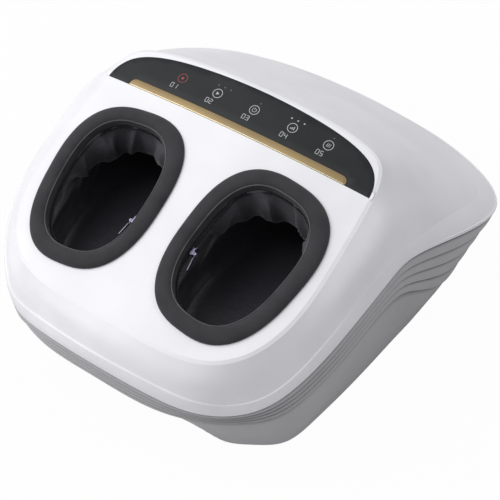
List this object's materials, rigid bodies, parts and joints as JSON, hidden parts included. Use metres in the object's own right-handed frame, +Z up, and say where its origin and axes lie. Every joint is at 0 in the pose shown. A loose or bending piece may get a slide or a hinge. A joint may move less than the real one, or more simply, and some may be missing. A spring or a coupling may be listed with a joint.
{
  "type": "foot massager",
  "caption": "Floor-standing foot massager with two padded foot wells, kneading heads, air bags and a touch panel on its sloping white cover.",
  "frame": {"origin": "on the floor under the middle of the machine", "axes": "+Z up; +Y from the heels towards the toes, the control panel and the rear; +X to the right of the person using it"},
  "size_m": [0.4258, 0.4219, 0.1955],
  "materials": {
    "cover_white": "satin gloss",
    "base_grey": "satin",
    "panel_black": "gloss",
    "trim_gold": "brushed pale gold",
    "collar_fabric": "matte mesh fabric over foam",
    "liner_fabric": "satin lining cloth",
    "zip_tape": "woven tape",
    "zip_metal": "satin",
    "tub_plastic": "matte",
    "knead_plastic": "satin",
    "gear_nylon": "satin",
    "worm_brass": "machined",
    "steel": "zinc plated",
    "frame_plastic": "matte",
    "heater_rubber": "matte",
    "airbag_vinyl": "satin",
    "pump_plastic": "matte",
    "valve_plastic": "satin",
    "hose_rubber": "satin",
    "circuit_board": "satin",
    "inlet_plastic": "matte",
    "foot_rubber": "matte"
  },
  "bodies": {
    "body": {"base_shell": "base_grey", "top_cover": "cover_white", "control_panel": "panel_black", "panel_trim": "trim_gold", "touch_board": "circuit_board", "collar_right": "collar_fabric", "collar_left": "collar_fabric", "well_tub_right": "tub_plastic", "well_tub_left": "tub_plastic", "liner_right": "liner_fabric", "liner_left": "liner_fabric", "zip_tape_right": "zip_tape", "zip_tape_left": "zip_tape", "motor": "steel", "motor_saddle": "frame_plastic", "gear_base_right": "frame_plastic", "gear_base_left": "frame_plastic", "heater_pad_right": "heater_rubber", "heater_pad_left": "heater_rubber", "airbag_right": "airbag_vinyl", "airbag_left": "airbag_vinyl", "air_pump": "pump_plastic", "air_valve": "valve_plastic", "pump_hose": "hose_rubber", "air_hose_right": "hose_rubber", "air_hose_left": "hose_rubber", "main_board": "circuit_board", "power_inlet": "inlet_plastic", "rubber_foot_1": "foot_rubber", "rubber_foot_2": "foot_rubber", "rubber_foot_3": "foot_rubber", "rubber_foot_4": "foot_rubber", "case_screw_1": "steel", "case_screw_2": "steel", "case_screw_3": "steel", "case_screw_4": "steel", "case_screw_5": "steel", "case_screw_6": "steel"},
    "drive": {"drive_shaft": "steel", "worm_right": "worm_brass", "worm_left": "worm_brass"},
    "knead_right": {"kneading_head_right": "knead_plastic", "worm_wheel_right": "gear_nylon"},
    "knead_left": {"kneading_head_left": "knead_plastic", "worm_wheel_left": "gear_nylon"},
    "slider_right": {"zip_slider_right": "zip_metal"},
    "slider_left": {"zip_slider_left": "zip_metal"},
    "pull_right": {"zip_pull_right": "zip_metal"},
    "pull_left": {"zip_pull_left": "zip_metal"}
  },
  "joints": [
    {"name": "knead_turn_right", "type": "hinge", "parent": "body", "child": "knead_right", "pos_m": [0.0775, -0.04, 0.05], "axis": [0, 0, 1], "continuous": true},
    {"name": "knead_turn_left", "type": "hinge", "parent": "body", "child": "knead_left", "pos_m": [-0.0775, -0.04, 0.05], "axis": [0, 0, 1], "continuous": true},
    {"name": "drive_turn", "type": "hinge", "parent": "body", "child": "drive", "pos_m": [0, -0.0125, 0.028], "axis": [1, 0, 0], "continuous": true},
    {"name": "zip_slide_right", "type": "slide", "parent": "body", "child": "slider_right", "axis": [0.0993, 0.935, 0.3403], "range_m": [0, 0.044]},
    {"name": "zip_slide_left", "type": "slide", "parent": "body", "child": "slider_left", "axis": [-0.0993, 0.935, 0.3403], "range_m": [0, 0.044]},
    {"name": "zip_pull_swing_right", "type": "hinge", "parent": "slider_right", "child": "pull_right", "pos_m": [0.0357, -0.09693, 0.13008], "axis": [0, -0.342, 0.9397], "range_deg": [-6, 150]},
    {"name": "zip_pull_swing_left", "type": "hinge", "parent": "slider_left", "child": "pull_left", "pos_m": [-0.0357, -0.09693, 0.13008], "axis": [0, 0.342, -0.9397], "range_deg": [-6, 150]}
  ],
  "couplings": [
    {"joint": "drive_turn", "follows": "knead_turn_right", "ratio": 30},
    {"joint": "knead_turn_left", "follows": "knead_turn_right", "ratio": -1}
  ]
}
